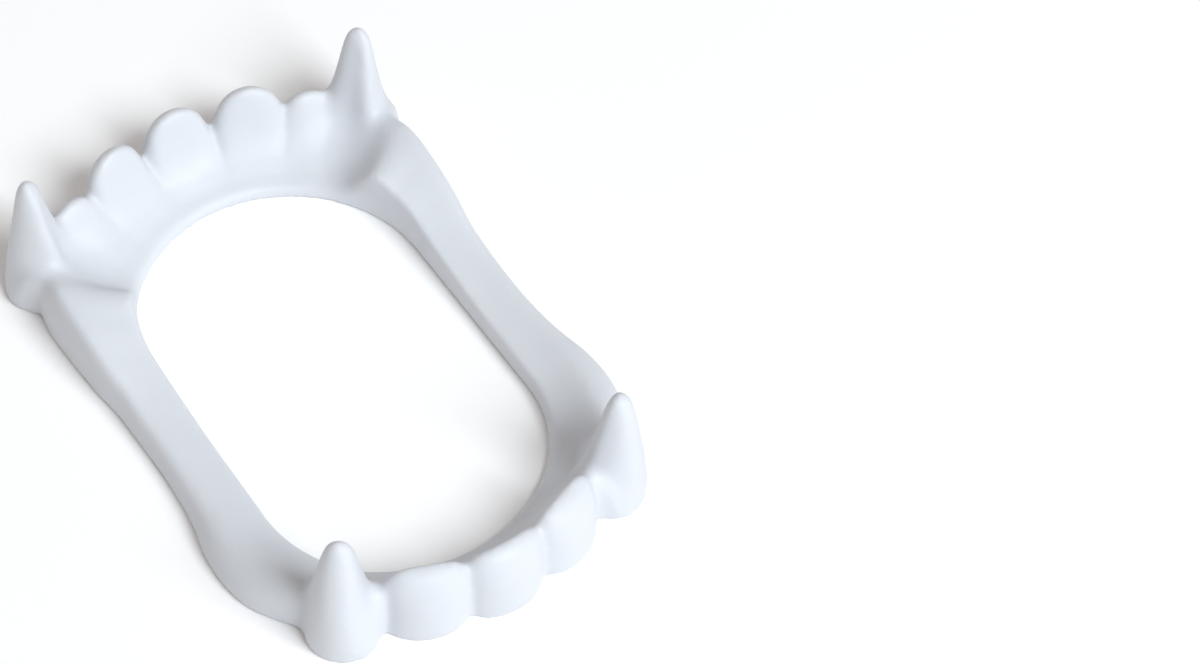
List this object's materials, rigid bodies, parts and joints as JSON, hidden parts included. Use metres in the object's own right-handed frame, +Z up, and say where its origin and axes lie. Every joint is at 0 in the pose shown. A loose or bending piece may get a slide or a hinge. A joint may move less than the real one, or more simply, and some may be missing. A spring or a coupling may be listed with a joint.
{
  "type": "vampire fang denture",
  "caption": "One-piece soft plastic costume denture lying open: upper and lower rows of teeth with fangs, joined by two flexible side straps round an open middle.",
  "frame": {"origin": "middle of the bounding box in plan, on the plane of the flat underside", "axes": "+Z up, the way the teeth point; +Y from the upper jaw's row to the lower jaw's row, along the straps; +X across the mouth"},
  "size_m": [0.0488, 0.071, 0.016],
  "materials": {
    "white_plastic": "matt soft moulded plastic, white with a faint cool tint"
  },
  "bodies": {
    "root": {"denture": "white_plastic"}
  },
  "joints": []
}
